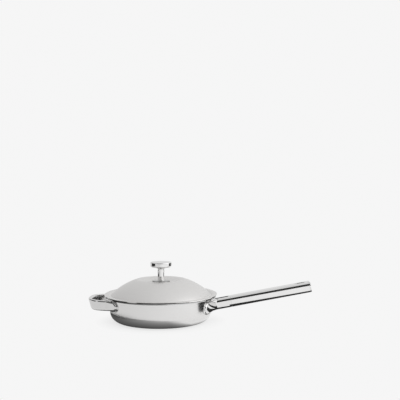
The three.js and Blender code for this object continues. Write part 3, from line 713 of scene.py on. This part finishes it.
# tube as outer and inner bars of the same rows, open where the eyelet passes
def handleTubeMesh():
    half = hangingSlot["width"] / 2 + hangingSlot["wall"] + hangingSlot["gap"]
    reach = hangingSlot["length"] / 2 + hangingSlot["wall"] + hangingSlot["gap"]
    start, end = hangingSlot["centre"] - reach, hangingSlot["centre"] + reach
    first, last = handle["forkEnd"] + handle["gap"], handle["tubeEnd"]
    plain = np.linspace(first + handle["rowInset"], start - handle["rowInset"], handle["tubeRows"])
    s = np.concatenate([[first, first + handle["chamfer"]], plain, slotRows(start, end, half),
                        np.linspace(start + half, end - half, hangingSlot["rows"]),
                        [last - handle["chamfer"], last]])
    s = np.unique(np.round(s, 4))
    seam = slotHalfWidth(s, start, end, half)
    chamfer = np.where((s == s[0]) | (s == s[-1]), handle["chamfer"], 0.0)
    return tubeMesh(barRows(s, chamfer, seam), barRows(s, handle["wall"] + 0 * s, seam), seam > 0)


addPiece("handleTube", "handle_tube", "pan", "polished_steel", polish, *handleTubeMesh(), handle["crease"])


# sleeve in the slot: a rounded wall profile of (outward, height) carried round a path with straight sides
# and round ends
def eyeletMesh():
    radius, steps = hangingSlot["width"] / 2, hangingSlot["arcSteps"]
    reach = hangingSlot["length"] / 2 - radius
    turn = np.radians(np.concatenate([np.linspace(-90, 90, steps), np.linspace(90, 270, steps)]))
    shift = np.repeat([reach, -reach], steps)
    high, wall, soft = handle["halfHeight"], hangingSlot["wall"], hangingSlot["rounding"]
    loop = roundedLine([(0, 0, 0), (0, high, soft), (wall, high, soft), (wall, -high, soft), (0, -high, soft),
                        (0, -hangingSlot["seamStep"], 0)], hangingSlot["roundingStep"])
    outward, h = loop[:, :1], loop[:, 1:]
    s = hangingSlot["centre"] + shift + (radius + outward) * np.cos(turn)
    y = (radius + outward) * np.sin(turn)
    points = handlePlace(s, y, h + 0 * s).reshape(-1, 3)
    return points, gridFaces(len(loop), len(turn), True, True)


addPiece("hangingEyelet", "hanging_eyelet", "pan", "polished_steel", polish, *eyeletMesh())


# end plate as a bar: spigot inside the tube, then a plate whose rim is a quarter arc
def endCapMesh():
    inside = handle["wall"] + handle["gap"]
    start = handle["tubeEnd"] + handle["gap"]
    turn = np.radians(np.linspace(0, 90, endCap["steps"]))
    rounding = endCap["rounding"]
    s = np.concatenate([[handle["tubeEnd"] - endCap["spigot"], start, start, start + handle["chamfer"]],
                        start + endCap["thickness"] - rounding + rounding * np.sin(turn)])
    inset = np.concatenate([[inside, inside, handle["chamfer"], 0], rounding * (1 - np.cos(turn))])
    return barMesh(barRows(s, inset, 0.0), np.zeros(len(s), bool))


addPiece("handleEndCap", "handle_end_cap", "pan", "polished_steel", polish, *endCapMesh(), handle["crease"])
print("long handle made")

# studio: pale floor that keeps the shadow near the object and runs out to the background tone, soft world
# and one lamp; lengths from here on are metres
studio = {"floorHalf": 8.0, "pale": 0.92, "floorTone": 0.9, "shadowFade": 0.75, "fadeStart": 0.1,
          "fadeRun": 0.06, "fill": 0.97, "dim": 0.13, "slant": 0.22, "floorLeft": 0.8,
          "floorRight": 1.0, "floorRun": 0.3}


# one flat face through the corners, which belongs to the studio and not to the object
def addPlane(name, corners, material):
    mesh = bpy.data.meshes.new(name)
    mesh.from_pydata(corners, [], [range(len(corners))])
    mesh.materials.append(material)
    plane = bpy.data.objects.new(name, mesh)
    bpy.context.scene.collection.objects.link(plane)
    plane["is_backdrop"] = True
    return plane


# leaves a card to glossy rays alone
def hideCard(card):
    card.visible_camera = card.visible_diffuse = card.visible_shadow = False
    card.visible_transmission = card.visible_volume_scatter = False


def rayKinds(wire):
    kinds = ("Camera", "Glossy", "Transmission")
    return [wire.node("ShaderNodeLightPath", {}, {}, f"Is {kind} Ray") for kind in kinds]


floorPaint, wire = newMaterial("paleFloor")
x, y, z = wire.node("ShaderNodeTexCoord", {}, {}, "Object").parts()
far = (((x * x + y * y).root() - studio["fadeStart"]) / studio["fadeRun"]).clamped()
isCamera, isGlossy, isClear = rayKinds(wire)
matte = wire.node("ShaderNodeBsdfDiffuse", {}, {"Color": grey(studio["floorTone"])})
# painted shade on the floor as reflections see it: darker to the left, full tone to the right
rightward = ((x / studio["floorRun"] + 1) * 0.5).clamped()  # 0 at the left of the run, 1 at its right
mirrorPaintedShade = wire.mixed(rightward, grey(studio["floorLeft"]), grey(studio["floorRight"]))
glow = wire.node("ShaderNodeEmission", {}, {"Color": wire.mixed(isGlossy, grey(studio["pale"]), mirrorPaintedShade)})
cover = (isCamera + isGlossy + isClear).clamped() * (studio["shadowFade"] + far * (1 - studio["shadowFade"]))
surface = wire.node("ShaderNodeMixShader", {}, {0: cover, 1: matte, 2: glow})
wire.node("ShaderNodeOutputMaterial", {}, {"Surface": surface})
half = studio["floorHalf"]
addPlane("floor", [(-half, -half, 0), (half, -half, 0), (half, half, 0), (-half, half, 0)], floorPaint)

world = bpy.data.worlds.new("studio")
bpy.context.scene.world = world
world.use_nodes = True
world.node_tree.nodes.clear()
wire = Wire(world.node_tree)
isCamera, isGlossy, isClear = rayKinds(wire)
x, y, z = wire.node("ShaderNodeTexCoord", {}, {}, "Generated").parts()
shown = (isCamera + isGlossy + isClear).clamped()
sweep = x * studio["slant"] - studio["dim"]
strength = studio["fill"] + shown * (studio["pale"] - studio["fill"]) + isGlossy * sweep
sky = wire.node("ShaderNodeBackground", {}, {"Color": grey(1.0), "Strength": strength})
wire.node("ShaderNodeOutputWorld", {}, {"Surface": sky})


# card that stands across X, from one y to another and from low to high
def uprightCard(x, y0, y1, low, high):
    return [(x, y0, low), (x, y1, low), (x, y1, high), (x, y0, high)]


# flags: dark cards that only reflections see, as a tone and corners each
lowHeight = 0.014  # level card below the long handle
lowPlan = [(0.135, -0.035), (0.172, -0.035), (0.172, -0.074), (0.6, -0.074), (0.6, 0.04), (0.135, 0.04)]
flags = {
    "horizon": (0.03, [(-2.2, -2.2, 0.0), (4.0, -2.2, 0.0), (4.0, -2.2, 0.55), (0.85, -2.2, 0.55),
                       (0.85, -2.2, 1.7), (-2.2, -2.2, 1.7)]),
    "leftLow": (0.03, uprightCard(-0.62, 0.6, -0.36, 0.0, 0.036)),
    "leftHigh": (0.03, uprightCard(-0.62, 0.28, -0.36, 0.046, 0.3)),
    "rightLow": (0.04, uprightCard(0.62, 0.06, 1.0, 0.0, 0.036)),
    "rightHigh": (0.04, uprightCard(0.62, 0.06, 1.0, 0.046, 0.3)),
    "lowRight": (0.03, [(x, y, lowHeight) for x, y in lowPlan]),
}
for name, (tone, corners) in flags.items():
    card, wire = newMaterial(name)
    glow = wire.node("ShaderNodeEmission", {}, {"Color": grey(tone)})
    wire.node("ShaderNodeOutputMaterial", {}, {"Surface": glow})
    hideCard(addPlane(name, corners, card))

# painted shadow of the pan on the floor: a glowing disc that only reflections see, dark under the pan's edge,
# darkest at the left and close in, paler outwards at the front and right
paintedPanShadow = {"centre": (-0.035, -0.01), "radius": 0.165, "height": 0.0006, "dark": 0.05, "light": 0.62,
            "right": 0.92, "leftEnd": -0.17, "leftRun": 0.24, "cornerFrom": 0.03, "cornerRun": 0.05,
            "inner": 0.104, "fade": 0.05, "cornerFade": 0.035, "steps": 64}
turn = np.arange(paintedPanShadow["steps"]) * 2 * np.pi / paintedPanShadow["steps"]
discLine = np.stack([np.cos(turn), np.sin(turn), 0 * turn], 1) * paintedPanShadow["radius"]
card, wire = newMaterial("paintedPanShadow")
x, y, z = wire.node("ShaderNodeTexCoord", {}, {}, "Object").parts()
rightward = ((x - paintedPanShadow["leftEnd"]) / paintedPanShadow["leftRun"]).clamped()
corner = ((x - paintedPanShadow["cornerFrom"]) / paintedPanShadow["cornerRun"]).clamped()
fade = paintedPanShadow["fade"] - corner * paintedPanShadow["cornerFade"]
outward = (((x * x + y * y).root() - paintedPanShadow["inner"]) / fade).clamped()
light = wire.mixed(corner, grey(paintedPanShadow["light"]), grey(paintedPanShadow["right"]))
level = wire.mixed(rightward * outward, grey(paintedPanShadow["dark"]), light)
glow = wire.node("ShaderNodeEmission", {}, {"Color": level})
wire.node("ShaderNodeOutputMaterial", {}, {"Surface": glow})
hideCard(addPlane("paintedPanShadow", (discLine + [*paintedPanShadow["centre"], paintedPanShadow["height"]]).tolist(), card))

# one soft lamp, its power in watts
keyRight = {"place": (1.5, -0.7, 0.9), "aim": (0.0, 0.0, 0.05), "size": 2.4, "power": 6.0}
lamp = bpy.data.lights.new("keyRight", "AREA")
lamp.size = keyRight["size"]
lamp.energy = keyRight["power"]
holder = bpy.data.objects.new("keyRight", lamp)
holder.location = keyRight["place"]
towards = Vector(keyRight["aim"]) - Vector(keyRight["place"])
holder.rotation_euler = towards.to_track_quat("-Z", "Y").to_euler()
bpy.context.scene.collection.objects.link(holder)

# camera: pitch is degrees below level, lens and sensor are mm
view = {"place": (0.095, -1.5, 0.305), "pitch": 0.465, "lens": 55.44, "sensor": 36.0}
camera = bpy.data.objects.new("camera", bpy.data.cameras.new("camera"))
camera.data.lens = view["lens"]
camera.data.sensor_width = view["sensor"]
camera.location = view["place"]
camera.rotation_euler = (math.radians(90 - view["pitch"]), 0.0, 0.0)
bpy.context.scene.collection.objects.link(camera)
bpy.context.scene.camera = camera
bpy.context.scene.view_settings.view_transform = "Standard"
print("studio set")

low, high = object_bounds()
